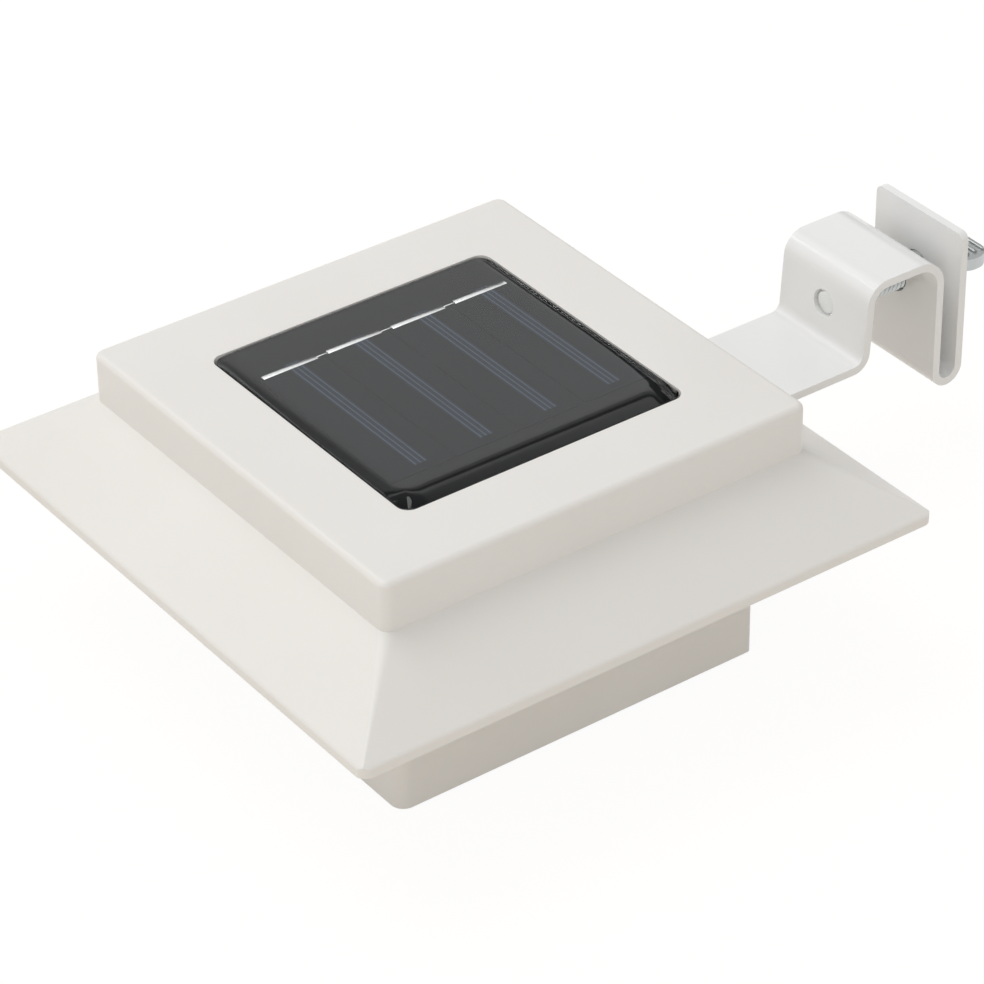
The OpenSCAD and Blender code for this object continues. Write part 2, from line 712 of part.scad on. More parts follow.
// Battery, its holder, spring and contacts
contact_half = 5.4;
contact_foot = 1;
tab_w = 3;
tab_y = -3;
tab_past = 1.2;
tab_out = holder_wall + tab_past;
tab_z = holder_wall + contact_foot;
module battery_holder() color("#26282a") difference() {
  translate([0, 0, deck_top]) union() {
    raise(0, holder_side_h) difference() {
      square([holder_len + 2 * holder_wall, 2 * holder_half_w], center = true);
      square([holder_len, 2 * holder_half_w - 2 * holder_wall], center = true);
    }
    raise(0, holder_wall)
      square([holder_len + holder_wall, 2 * holder_half_w - holder_wall], center = true);
  }
  for (x = [-1, 1]) translate([x * holder_half, tab_y, deck_top + tab_z + contact_t / 2])
    cube([4 * holder_wall, tab_w + 2 * pin_play, contact_t + 2 * pin_play], center = true);
  translate([0, 0, deck_top + holder_side_h]) cube([holder_half, 4 * holder_half_w, cell_r], center = true);
}
module battery() color("#5c8f4e") translate([cell_minus_x, 0, cell_z]) rotate([0, 90, 0]) {
  edge = cell_play;
  rotate_extrude() polygon([[0, 0], [cell_r - edge, 0], [cell_r, edge], [cell_r, cell_l - button_h - edge],
    [cell_r - edge, cell_l - button_h], [button_r, cell_l - button_h], [button_r, cell_l - edge],
    [button_r - edge, cell_l], [0, cell_l]]);
}
module battery_contacts() color("#c8cacb") for (m = [0, 1]) mirror([m, 0, 0]) {
  translate([holder_half - contact_t / 2, 0, cell_z])
    cube([contact_t, 2 * contact_half, 2 * contact_half], center = true);
  translate([holder_half - contact_t / 2, tab_y, deck_top + tab_z + contact_half / 2])
    cube([contact_t, tab_w, contact_half], center = true);
  translate([holder_half - contact_t, tab_y - tab_w / 2, deck_top + tab_z])
    cube([contact_t + tab_out, tab_w, contact_t]);
}
spring_from = contact_t - holder_half + spring_wire_r + spring_seat_gap;
spring_to = cell_minus_x - spring_wire_r - spring_seat_gap;
spring_rings = 8;
spring_sides = 6;
function coil(i) = let (n = spring_curls * spring_rings, s = i / n, a = 360 * i / spring_rings,
  r = spring_foot_r + s * (spring_end_r - spring_foot_r))
  [spring_from + s * (spring_to - spring_from), r * cos(a), cell_z + r * sin(a)];
spring_route = let (n = spring_curls * spring_rings, body = [for (i = [0:n]) coil(i)],
    lead_in = body[0] - 2 * spring_wire_r * unit((body[1] - body[0])),
    lead_out = body[n] + 2 * spring_wire_r * unit((body[n] - body[n - 1])))
  concat([lead_in], body, [lead_out]);
module battery_spring() color("#c8cacb") {
  clear = min([for (i = [0:len(spring_route) - 1], j = [i + 5:1:len(spring_route) - 1])
    norm(spring_route[i] - spring_route[j])]) - 2 * spring_wire_r;
  echo(battery_spring_gap = clear);
  tube(spring_route, spring_wire_r, spring_sides, [1, 0, 0]);
}

// Boards and leads
module control_board() color("#2f6b45") difference() {
  raise(control_z, board_t) translate([0, control_y]) square([control_w, control_d], center = true);
  for (x = [-1, 1]) translate([x * control_peg_x, control_y, 0]) cylinder(h = body_h, r = peg_r + pin_play);
}
chip = [5, 4, 1.6];
coil_r = 3;
coil_h = 4.4;
can_r = 2;
can_h = 5.4;
part_shift = 1;
module control_parts() color("#37393b") translate([0, control_y, control_z + board_t]) {
  translate([0, part_shift, 0]) raise(0, chip.z) square([chip.x, chip.y], center = true);
  translate([-chip.x - coil_r, 0, 0]) cylinder(h = coil_h, r = coil_r);
  translate([chip.x + can_r, part_shift, 0]) cylinder(h = can_h, r = can_r);
}

// A lead along points, round at its bends
lead_bend = 1;
lead_sides = 8;
lead_steps = 3;
lead_side = [1, 2, 3];
module lead(points) tube(eased(points, lead_bend, lead_steps), lead_r, lead_sides, lead_side);
module panel_leads() color("#b3392f") for (x = [-1, 1])
  translate([x * panel_lead_x, panel_lead_y, control_z + board_t])
    cylinder(h = cells_z - seat_gap - control_z - board_t, r = lead_r);
lead_side_x = holder_half + tab_out - lead_r;
lead_low_z = deck_top + tab_z - lead_r - seat_gap / 2;
lead_corner_y = -(holder_half_w + lead_r + cover_play * 2);
lead_peg_gap = 3.8;
lead_edge_gap = 0.45;
lead_pair_gap = 0.44;
lead_end = [control_w / 2 - 2 * peg_r - lead_peg_gap, control_y + control_d / 2 - lead_r - lead_edge_gap];
module battery_leads() color("#b3392f") for (m = [0, 1]) mirror([m, 0, 0])
  lead([[lead_side_x, tab_y, lead_low_z], [lead_side_x, lead_corner_y, lead_low_z],
        [lead_end.x, lead_end.y, lead_low_z], [lead_end.x, lead_end.y, control_z]]);
module led_leads() color("#b3392f") for (x = [-1, 1])
  translate([x * light_hole_x, light_lead_y, lamp_board_z + board_t])
    cylinder(h = control_z - lamp_board_z - board_t, r = lead_r);
module switch_leads() color("#b3392f") for (side = [-1, 1]) {
  top = switch_z + switch_h + 2 * switch_shell_t + over / 2;
  run = top + 4 * lead_r;
  x = switch_hole_x + side * (lead_r + lead_pair_gap / 2);
  lead([[side * stem_l, switch_y, top], [side * stem_l, switch_y, run],
        [side * stem_l, switch_y - switch_body_w, run],
        [x, lead_bend_y, run + switch_h], [x, lead_bend_y, control_z - 3 * lead_r],
        [x, lead_end.y, control_z - 3 * lead_r], [x, lead_end.y, control_z]]);
}

// Bracket strap: one strip, drawn leg by leg along its middle line with a round bend after each leg
module bend_sector(r, turn, reach_r) {
  side = sign(turn);
  intersection() {
    difference() {
      circle(r + strap_t);
      circle(r);
    }
    polygon(concat([[0, 0]],
      [for (k = [0:4]) let (a = -90 * side + turn * k / 4) reach_r * [cos(a), sin(a)]]));
  }
}
module strip(i) {
  leg = strap_legs[i];
  side = sign(leg.y);
  mid_r = leg.z + strap_t / 2;
  translate([0, -strap_t / 2]) square([leg.x, strap_t]);
  if (side != 0) translate([leg.x, side * mid_r]) {
    bend_sector(leg.z, leg.y, 3 * (leg.z + strap_t));
    rotate(leg.y) translate([0, -side * mid_r]) strip(i + 1);
  }
}
module corner_cut(r) difference() {
  translate([0, 0]) square(r + over);
  circle(r);
}
module bracket_strap() color(steel_white) difference() {
  union() {
    along_x(strap_w) translate([tongue_y, tongue_z + strap_t / 2]) strip(0);
    translate([0, plate_back_y + collar_l / 2, screw_z]) rotate([90, 0, 0])
      cylinder(h = collar_l, r = collar_r, center = true);
  }
  translate([0, (wall_y_at_screw + wall_back_y) / 2, screw_z]) rotate([90 - wall_lean, 0, 0])
    cylinder(h = 2 * strap_t, r = wall_hole_r, center = true);
  translate([0, leg_back_y - strap_t / 2, screw_z]) rotate([90, 0, 0])
    cylinder(h = 2 * strap_t, r = stud_r + hole_play, center = true);
  translate([0, plate_back_y, screw_z]) rotate([90, 0, 0])
    cylinder(h = 2 * (strap_t + over), r = stud_r + thread_play, center = true);
  for (x = [-1, 1]) {
    translate([x * strap_screw_x, strap_screw_y, tongue_z - over])
      cylinder(h = strap_t + 2 * over, r = tapping_r + hole_play);
    translate([x * (strap_w / 2 - strap_corner_r), plate_back_y - strap_t / 2, plate_top - strap_corner_r])
      rotate([90, 0, 0]) linear_extrude(2 * strap_t, center = true)
        mirror([x < 0 ? 1 : 0, 0]) corner_cut(strap_corner_r);
    translate([x * (strap_w / 2 - strap_corner_r), tongue_y + strap_corner_r, tongue_z - over])
      linear_extrude(strap_t + 2 * over)
        mirror([x < 0 ? 1 : 0, 0]) mirror([0, 1]) corner_cut(strap_corner_r);
  }
}
module bracket_screws() color(zinc)
  for (x = [-1, 1]) translate([x * strap_screw_x, strap_screw_y, tongue_z]) tapping_screw(tapping_l);

// Thumb screw with the cap on its tip
module on_screw(y) translate([0, y, screw_z]) rotate([-90, 0, 0]) children();
cap_front = neck_head_l;
module screw_cap() color(zinc) on_screw(tip_y) difference() {
  union() {
    cylinder(h = cap_chamfer, r1 = cap_r - cap_chamfer, r2 = cap_r);
    translate([0, 0, cap_chamfer]) cylinder(h = cap_l - cap_chamfer, r = cap_r);
  }
  translate([0, 0, cap_front - cap_seat])
    cylinder(h = neck_head_l + 2 * cap_seat, r = neck_head_r + thread_play);
  translate([0, 0, cap_front]) cylinder(h = cap_l, r = neck_r + thread_play);
}
module screw_stud() color(zinc) {
  on_screw(tip_y + cap_front) cylinder(h = neck_head_l, r = neck_head_r);
  on_screw(tip_y + cap_front) cylinder(h = cap_l, r = neck_r);
  on_screw(tip_y + cap_l + cap_seat) cylinder(h = tip_chamfer, r1 = stud_r - tip_chamfer, r2 = stud_r);
  on_screw(tip_y + cap_l + cap_seat + tip_chamfer)
    cylinder(h = hub_y + stud_in_hub - tip_y - cap_l - cap_seat - tip_chamfer, r = stud_r);
}
module screw_grip() color(zinc) difference() {
  union() {
    on_screw(hub_y) cylinder(h = hub_l, r = hub_r);
    translate([0, hub_y + grip_start + grip_l / 2, screw_z])
      linear_extrude(grip_t, center = true) pad(grip_w, grip_l, grip_corner_r);
    for (i = [0:rib_count - 1], z = [-1, 1])
      translate([0, hub_y + hub_l + rib_pitch * i, screw_z + z * grip_t / 2])
        rotate([0, 90, 0]) cylinder(h = grip_w - grip_corner_r, r = rib_r, center = true);
  }
  on_screw(hub_y - over) cylinder(h = stud_in_hub + over, r = stud_r);
}

top_housing();
panel_bead();
panel_board();
solar_cells();
cell_ribbon();
panel_resin();
lower_housing();
housing_screws();
bottom_cover();
cover_screws();
lens();
reflector();
led_board();
leds();
led_board_screws();
switch_body();
switch_knob();
battery_holder();
battery();
battery_spring();
battery_contacts();
control_board();
control_parts();
panel_leads();
battery_leads();
led_leads();
switch_leads();
bracket_strap();
bracket_screws();
screw_cap();
screw_stud();
screw_grip();
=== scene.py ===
# %% [markdown]
# # A solar fence light
# The part is a square white lamp with a solar panel in its stepped top, and a bent steel strap that hooks over a
# rail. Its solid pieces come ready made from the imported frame. This lesson gives each one its finish, adds the forms
# that are too fine for the solids, and sets up a plain studio that looks at the lamp from the photograph's side.

# %% Load the frame
import bpy
import json
import math
from mathutils import Matrix, Vector

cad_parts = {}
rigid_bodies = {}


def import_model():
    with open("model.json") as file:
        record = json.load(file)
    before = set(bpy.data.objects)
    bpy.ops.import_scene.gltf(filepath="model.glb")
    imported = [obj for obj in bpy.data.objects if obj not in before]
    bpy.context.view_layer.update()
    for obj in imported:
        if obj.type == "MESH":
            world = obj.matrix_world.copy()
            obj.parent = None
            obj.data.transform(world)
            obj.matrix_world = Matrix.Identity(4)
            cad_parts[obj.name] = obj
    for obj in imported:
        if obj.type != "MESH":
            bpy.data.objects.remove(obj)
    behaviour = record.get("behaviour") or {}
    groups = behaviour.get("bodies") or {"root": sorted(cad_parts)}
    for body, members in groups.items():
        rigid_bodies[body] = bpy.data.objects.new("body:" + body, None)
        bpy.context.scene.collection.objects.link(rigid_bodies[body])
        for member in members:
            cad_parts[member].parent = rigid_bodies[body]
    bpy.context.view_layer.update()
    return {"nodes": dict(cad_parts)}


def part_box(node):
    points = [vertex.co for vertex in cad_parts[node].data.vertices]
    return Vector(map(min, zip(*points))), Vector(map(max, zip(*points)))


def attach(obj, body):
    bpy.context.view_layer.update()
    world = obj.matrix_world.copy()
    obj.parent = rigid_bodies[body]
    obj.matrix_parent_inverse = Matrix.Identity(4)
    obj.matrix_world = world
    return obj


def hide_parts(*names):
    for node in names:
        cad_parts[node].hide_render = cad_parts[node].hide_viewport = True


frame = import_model()
nodes = frame["nodes"]
mm = 0.001

# %% [markdown]
# ## The camera
# The photograph was taken with a long lens from the right, in front and above. A long lens keeps edges that are
# parallel on the lamp nearly parallel in the picture. The three angles below turn the camera: round the lamp, down
# towards it and a hair about its own axis. The matrix is built from them, so no helper object has to be aimed.

# %% Camera at the photograph's place
around, down, tilt = math.radians(54.196), math.radians(34.367), math.radians(-0.815)
look = Vector((-math.sin(around) * math.cos(down), math.cos(around) * math.cos(down), -math.sin(down)))
flat = Vector((math.cos(around), math.sin(around), 0))
up = flat.cross(look)
side = flat * math.cos(tilt) + up * math.sin(tilt)
top = up * math.cos(tilt) - flat * math.sin(tilt)
camera_data = bpy.data.cameras.new("photo_camera")
camera_data.sensor_width = 36
picture_width, focal_length = 984, 4264.47  # both in pixels
camera_data.lens = focal_length / picture_width * camera_data.sensor_width
camera_data.clip_start, camera_data.clip_end = 0.05, 20
camera = bpy.data.objects.new("photo_camera", camera_data)
bpy.context.scene.collection.objects.link(camera)
turn = Matrix((side, top, -look)).transposed().to_4x4()
camera.matrix_world = Matrix.Translation((0.505061, -0.354860, 0.450981)) @ turn
bpy.context.scene.camera = camera
print("lens:", round(camera_data.lens, 1), "mm")

# %% [markdown]
# ## Helpers for finishes
# Colours are written as the hex values that a colour picker on a screen shows. Blender's shaders work with linear
# light, so one function turns them over. Another adds a shader node, sets it and links its inputs, and every finish
# below is a short chain of such calls. Inputs that share one name, as in a Math node, are told apart by number.

# %% Colour and node helpers
def paint(code):
    """A screen colour such as 'ECEAE5' as linear red, green, blue and alpha."""
    parts = [int(code[i:i + 2], 16) / 255 for i in (0, 2, 4)]
    return tuple(p / 12.92 if p <= 0.04045 else ((p + 0.055) / 1.055) ** 2.4 for p in parts) + (1.0,)


def add(tree, kind, inputs=None, out=None, **settings):
    """Adds a node with its settings and its input values or links, and returns the output named out, or the node."""
    made = tree.nodes.new(kind)
    for name, value in settings.items():
        setattr(made, name, value)
    for name, value in (inputs or {}).items():
        found = made.inputs[name] if isinstance(name, int) else next(
            s for s in made.inputs if s.name == name and s.enabled)
        if isinstance(value, bpy.types.NodeSocket):
            tree.links.new(value, found)
        else:
            found.default_value = value
    return next(s for s in made.outputs if s.name == out and s.enabled) if out else made


def start(name):
    """An empty material, its node tree and the place on the piece, in metres."""
    made = bpy.data.materials.new(name)
    made.use_nodes = True
    tree = made.node_tree
    tree.nodes.clear()
    return made, tree, add(tree, "ShaderNodeTexCoord", out="Object")


def dress(made, *names):
    """Gives CAD nodes a finish."""
    for name in names:
        nodes[name].data.materials.clear()
        nodes[name].data.materials.append(made)
    print(made.name, "on", ", ".join(names))


# %% [markdown]
# ## White moulded ABS
# The top, the box and its cover are injection moulded. ABS has an index of about 1.54 and a satin skin, because the
# mould is spark eroded: a grain of a few tenths of a millimetre that breaks up the highlights without being seen as
# bumps. A little light goes into the wall and comes out again nearby, which makes the white look milky. Two noises
# do this: a wide one for the colour and the gloss, and a fine one for the grain.

# %% White ABS
white_abs, tree, place = start("white_moulded_abs")
cloud = add(tree, "ShaderNodeTexNoise", {"Vector": place, "Scale": 28.0, "Detail": 2.0}, out="Fac")
tone = add(tree, "ShaderNodeMix", {"Factor": cloud, "A": paint("EDEBE7"), "B": paint("E7E4DF")}, out="Result",
           data_type="RGBA")
grain = add(tree, "ShaderNodeTexNoise", {"Vector": place, "Scale": 3200.0, "Detail": 3.0}, out="Fac")
skin = add(tree, "ShaderNodeBump", {"Height": grain, "Strength": 0.12, "Distance": 0.06 * mm}, out="Normal")
gloss = add(tree, "ShaderNodeMapRange", {"Value": cloud, "To Min": 0.36, "To Max": 0.44}, out="Result")
shell = add(tree, "ShaderNodeBsdfPrincipled", {
    "Base Color": tone, "Roughness": gloss, "IOR": 1.54, "Normal": skin, "Subsurface Weight": 0.1,
    "Subsurface Radius": (1.0, 0.8, 0.65), "Subsurface Scale": 1.5 * mm}, out="BSDF")
add(tree, "ShaderNodeOutputMaterial", {"Surface": shell})
dress(white_abs, "top_housing", "lower_housing", "bottom_cover")

# %% [markdown]
# ## White powder coat on steel
# The strap is cut and bent from sheet, then powder coated. The powder melts into a tough glossy film with the faint
# waviness of an orange's peel, about a millimetre from crest to crest. A cooler white than the ABS tells the two
# materials apart.

# %% Powder coat
powder_coat, tree, place = start("white_powder_coat")
peel = add(tree, "ShaderNodeTexNoise", {"Vector": place, "Scale": 900.0, "Detail": 1.0}, out="Fac")
film = add(tree, "ShaderNodeBump", {"Height": peel, "Strength": 0.2, "Distance": 0.05 * mm}, out="Normal")
cloud = add(tree, "ShaderNodeTexNoise", {"Vector": place, "Scale": 40.0, "Detail": 2.0}, out="Fac")
tone = add(tree, "ShaderNodeMix", {"Factor": cloud, "A": paint("F3F3F2"), "B": paint("EDEDEC")}, out="Result",
           data_type="RGBA")
coat = add(tree, "ShaderNodeBsdfPrincipled", {
    "Base Color": tone, "Roughness": 0.28, "IOR": 1.5, "Normal": film, "Coat Weight": 0.25, "Coat Roughness": 0.12},
    out="BSDF")
add(tree, "ShaderNodeOutputMaterial", {"Surface": coat})
dress(powder_coat, "bracket_strap")

# %% [markdown]
# ## Zinc plate
# Screws and the thumb screw's grip are zinc plated and passivated: a grey metal with a soft sheen, cloudy where the
# bath left it thicker. A metal takes its colour from its reflection, so it is fully metallic, with the default index.

# %% Zinc plate
zinc_plate, tree, place = start("zinc_plated_steel")
cloud = add(tree, "ShaderNodeTexNoise", {"Vector": place, "Scale": 350.0, "Detail": 4.0}, out="Fac")
tone = add(tree, "ShaderNodeMix", {"Factor": cloud, "A": paint("B2B7B8"), "B": paint("CDD0CE")}, out="Result",
           data_type="RGBA")
gloss = add(tree, "ShaderNodeMapRange", {"Value": cloud, "To Min": 0.26, "To Max": 0.42}, out="Result")
fine = add(tree, "ShaderNodeTexNoise", {"Vector": place, "Scale": 4000.0, "Detail": 2.0}, out="Fac")
skin = add(tree, "ShaderNodeBump", {"Height": fine, "Strength": 0.15, "Distance": 0.04 * mm}, out="Normal")
zinc = add(tree, "ShaderNodeBsdfPrincipled", {
    "Base Color": tone, "Metallic": 1.0, "Roughness": gloss, "Normal": skin}, out="BSDF")
add(tree, "ShaderNodeOutputMaterial", {"Surface": zinc})
dress(zinc_plate, "screw_stud", "screw_grip", "housing_screws", "cover_screws", "led_board_screws",
      "bracket_screws")

# %% [markdown]
# ## The screw's pressed cap
# The cap on the screw's tip is turned bright before plating, so it is smoother and paler than the cast grip. Rings
# from the lathe, a quarter of a millimetre apart round the screw's axis, are too fine to see and are drawn coarser.

# %% Bright zinc
bright_zinc, tree, place = start("bright_turned_zinc")
low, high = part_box("screw_cap")
about = add(tree, "ShaderNodeMapping", {
    "Vector": place, "Location": (0, 0, -(low[2] + high[2]) / 2)}, out="Vector", vector_type="POINT")
rings = add(tree, "ShaderNodeTexWave", {"Vector": about, "Scale": 640.0, "Distortion": 0.3}, out="Fac",
            wave_type="RINGS", rings_direction="Y")
tone = add(tree, "ShaderNodeMix", {"Factor": rings, "A": paint("E4E5E3"), "B": paint("E9EAE8")}, out="Result",
           data_type="RGBA")
skin = add(tree, "ShaderNodeBump", {"Height": rings, "Strength": 0.03, "Distance": 0.02 * mm}, out="Normal")
turned = add(tree, "ShaderNodeBsdfPrincipled", {
    "Base Color": tone, "Metallic": 1.0, "Roughness": 0.3, "Normal": skin}, out="BSDF")
add(tree, "ShaderNodeOutputMaterial", {"Surface": turned})
dress(bright_zinc, "screw_cap")

# %% [markdown]
# ## Solar cells
# A small panel has four strips of silicon under clear resin. The silicon is nearly black, with a trace of blue from
# its antireflection film. Thin printed lines gather the current: three to a strip, a millimetre apart, along X, in a
# band that looks a little bluer. The place across a strip comes from wrapping Y at the strips' pitch, so one pattern
# serves them all, and a triangle wave of that place is nought on each line and fades to the band's tone beside it.

# %% Silicon cells with their printed lines
silicon, tree, place = start("silicon_solar_cell")
low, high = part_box("solar_cells")
first_strip, last_strip = low[1], high[1]
strips, strip_gap, lines_off_middle, lines_end = 4, 0.4 * mm, 1.1 * mm, 18 * mm
strip = (last_strip - first_strip + strip_gap) / strips
first_lines = first_strip + (strip - strip_gap) / 2 + lines_off_middle
split = add(tree, "ShaderNodeSeparateXYZ", {"Vector": place})
from_first = add(tree, "ShaderNodeMath", {0: split.outputs["Y"], 1: first_lines}, out="Value",
                 operation="SUBTRACT")
across = add(tree, "ShaderNodeMath", {0: from_first, 1: strip / 2, 2: -strip / 2}, out="Value", operation="WRAP")
wave = add(tree, "ShaderNodeMath", {0: across, 1: 0.5 * mm}, out="Value", operation="PINGPONG")
on_line = add(tree, "ShaderNodeMapRange", {"Value": wave, "From Min": 0.04 * mm, "From Max": 0.2 * mm, "To Min": 1.0,
                                           "To Max": 0.22}, out="Result")
apart = add(tree, "ShaderNodeMath", {0: across}, out="Value", operation="ABSOLUTE")
in_group = add(tree, "ShaderNodeMath", {0: apart, 1: 1.5 * mm}, out="Value", operation="LESS_THAN")
short = add(tree, "ShaderNodeMath", {0: split.outputs["X"], 1: lines_end}, out="Value", operation="LESS_THAN")
grouped = add(tree, "ShaderNodeMath", {0: on_line, 1: in_group}, out="Value", operation="MULTIPLY")
line = add(tree, "ShaderNodeMath", {0: grouped, 1: short}, out="Value", operation="MULTIPLY")
cloud = add(tree, "ShaderNodeTexNoise", {"Vector": place, "Scale": 90.0, "Detail": 3.0}, out="Fac")
wafer = add(tree, "ShaderNodeMix", {"Factor": cloud, "A": paint("1A1D20"), "B": paint("202428")}, out="Result",
            data_type="RGBA")
tone = add(tree, "ShaderNodeMix", {"Factor": line, "A": wafer, "B": paint("55657A")}, out="Result",
           data_type="RGBA")
cell = add(tree, "ShaderNodeBsdfPrincipled", {
    "Base Color": tone, "Roughness": 0.5, "IOR": 1.5, "Specular IOR Level": 0.1}, out="BSDF")
add(tree, "ShaderNodeOutputMaterial", {"Surface": cell})
dress(silicon, "solar_cells")

# %% [markdown]
# ## The ribbon across the cells
# A tinned copper ribbon joins the strips at one end. Dipping leaves the tin uneven, which a coarse noise bumps.

# %% Tinned ribbon, contacts and spring
tinned, tree, place = start("tinned_copper")
lumps = add(tree, "ShaderNodeTexNoise", {"Vector": place, "Scale": 1500.0, "Detail": 3.0}, out="Fac")
tone = add(tree, "ShaderNodeMix", {"Factor": lumps, "A": paint("EDEEEE"), "B": paint("FBFBFA")}, out="Result",
           data_type="RGBA")
skin = add(tree, "ShaderNodeBump", {"Height": lumps, "Strength": 0.25, "Distance": 0.04 * mm}, out="Normal")
tin = add(tree, "ShaderNodeBsdfPrincipled", {
    "Base Color": tone, "Metallic": 1.0, "Roughness": 0.22, "Normal": skin}, out="BSDF")
add(tree, "ShaderNodeOutputMaterial", {"Surface": tin})
dress(tinned, "cell_ribbon", "battery_contacts", "battery_spring")

# %% [markdown]
# ## The resin over the cells
# Clear resin is poured over the cells and levels itself, so its top is glossy and reflects the bright studio. That
# reflection is what makes the black panel look grey. The index of cast resin is 1.5. Very slight waves keep the
# mirror image from being perfect.

# %% Cast resin
resin, tree, place = start("clear_cast_resin")
waves = add(tree, "ShaderNodeTexNoise", {"Vector": place, "Scale": 60.0, "Detail": 1.0}, out="Fac")
skin = add(tree, "ShaderNodeBump", {"Height": waves, "Strength": 0.1, "Distance": 0.2 * mm}, out="Normal")
tone = add(tree, "ShaderNodeMix", {"Factor": waves, "A": paint("F4F6F7"), "B": paint("FBFCFC")}, out="Result",
           data_type="RGBA")
poured = add(tree, "ShaderNodeBsdfPrincipled", {
    "Base Color": tone, "Roughness": 0.03, "IOR": 1.5, "Transmission Weight": 1.0, "Normal": skin}, out="BSDF")
add(tree, "ShaderNodeOutputMaterial", {"Surface": poured})
dress(resin, "panel_resin")

# %% [markdown]
# ## The poured dome
# The resin stands nearly level with the rim. Surface tension rounds it down over its last few millimetres, further at
# the corners, and draws it up again where it wets the pocket's wall. It was poured with the lamp a little tilted, so
# it fell more to the right and the front, and stayed level on the left. The solid has one rounded border all round.
# Here a shoulder leads from the flat to an even slope of fifteen degrees. It is short at the rear and long elsewhere,
# and the rear border widens towards the right. The dome is a fine grid whose lines lie closer towards the edges. Its
# points are pulled in to the pocket's round corners and lowered by their distance past a flat middle. Its border is
# then extruded down to the board, and the floor is closed. The cells and the ribbon stand in the resin with no air
# between.

# %% Dome of resin
low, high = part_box("panel_resin")
rim_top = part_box("top_housing")[1][2]
half, corner, turn_in = (high[0] - low[0]) / 2, 2 * mm, 1.5 * mm
slope, short_shoulder, longer, right_shoulder = 0.27, 1.2 * mm, 3 * mm, 3 * mm
below_rim, sunk = 0.04 * mm, 0.08 * mm
border = {"left": 0.2 * mm, "right": 5.8 * mm, "front": 4 * mm, "rear": 2 * mm}


def past(x, y, inset_x, inset_y):
    """Distance from the point where a corner's round starts, inset from the pocket's walls."""
    return math.hypot(max(abs(x) - half + inset_x, 0), max(abs(y) - half + inset_y, 0))


def spread(share):
    """Moves grid lines towards the edges: even in the middle, and ever closer over the last tenth."""
    return math.copysign(half * (1 - (1 - abs(share)) * (0.12 + 0.88 * (1 - abs(share) ** 6))), share)


bpy.ops.object.select_all(action="DESELECT")
bpy.ops.mesh.primitive_grid_add(x_subdivisions=170, y_subdivisions=170, size=2)
dome = bpy.context.view_layer.objects.active
dome.name = "resin_dome"
for vertex in dome.data.vertices:
    x, y = spread(vertex.co.x), spread(vertex.co.y)
    over = [max(abs(v) - half + corner, 0) for v in (x, y)]
    if min(over) > 0:
        pull = max(over) / math.hypot(*over)
        x, y = (math.copysign(half - corner + d * pull, v) for d, v in zip(over, (x, y)))
    width_x, width_y = border["right" if x > 0 else "left"], border["rear" if y > 0 else "front"]
    if y > 0:
        width_y *= 1 + max(x / half, 0) ** 3
    out = max(past(x, y, width_x + turn_in, width_y + turn_in) - turn_in, 0)
    ahead, behind = max(-y - half + width_y, 0), max(y - half + width_y, 0)
    aside = max(abs(x) - half + width_x, 0.01 * mm)
    shoulder = short_shoulder + longer * ahead ** 2 / (ahead ** 2 + aside ** 2)
    if x > 0:
        shoulder = max(shoulder, right_shoulder * aside ** 2 / (ahead ** 2 + aside ** 2 + behind ** 2))
    fall = slope * (out ** 2 / (2 * shoulder) if out < shoulder else out - shoulder / 2)
    reach = max(abs(x), abs(y))
    inside = corner - past(x, y, corner, corner) if reach > half - corner else half - reach
    climb_width = (0.55 + 0.75 * max(-x / half, 0) * max(-y / half, 0) ** 4) * mm
    wet = max(1 - inside / climb_width, 0) ** 2 * min((x + half) / (3 * mm), 1)
    vertex.co = (x, y, rim_top - below_rim - (sunk + fall) * (1 - wet))
bpy.ops.object.mode_set(mode="EDIT")
bpy.ops.mesh.select_all(action="SELECT")
bpy.ops.mesh.region_to_loop()
bpy.ops.mesh.extrude_edges_move(TRANSFORM_OT_translate={"value": (0, 0, -0.1 * mm)})
bpy.ops.mesh.edge_face_add()
bpy.ops.object.mode_set(mode="OBJECT")
for vertex in dome.data.vertices:
    if vertex.select:
        vertex.co.z = low[2] - 0.02 * mm
bpy.ops.object.mode_set(mode="EDIT")
bpy.ops.mesh.select_all(action="SELECT")
bpy.ops.mesh.normals_make_consistent(inside=False)
bpy.ops.object.mode_set(mode="OBJECT")
bpy.ops.object.shade_smooth_by_angle(angle=math.radians(40))
dome.data.materials.append(resin)
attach(dome, "lamp")
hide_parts("panel_resin")
print("resin dome:", len(dome.data.polygons), "faces, top", round(rim_top / mm, 2), "mm")

# %% [markdown]
# ## The ribbon in its four lengths
# In the photograph the ribbon is a thin bright line that breaks where one strip meets the next. Each length is a
# cube made into a bar with rounded edges. It lies a tenth of a millimetre off the line, as soldering leaves it, and
# a narrower link closes each break.

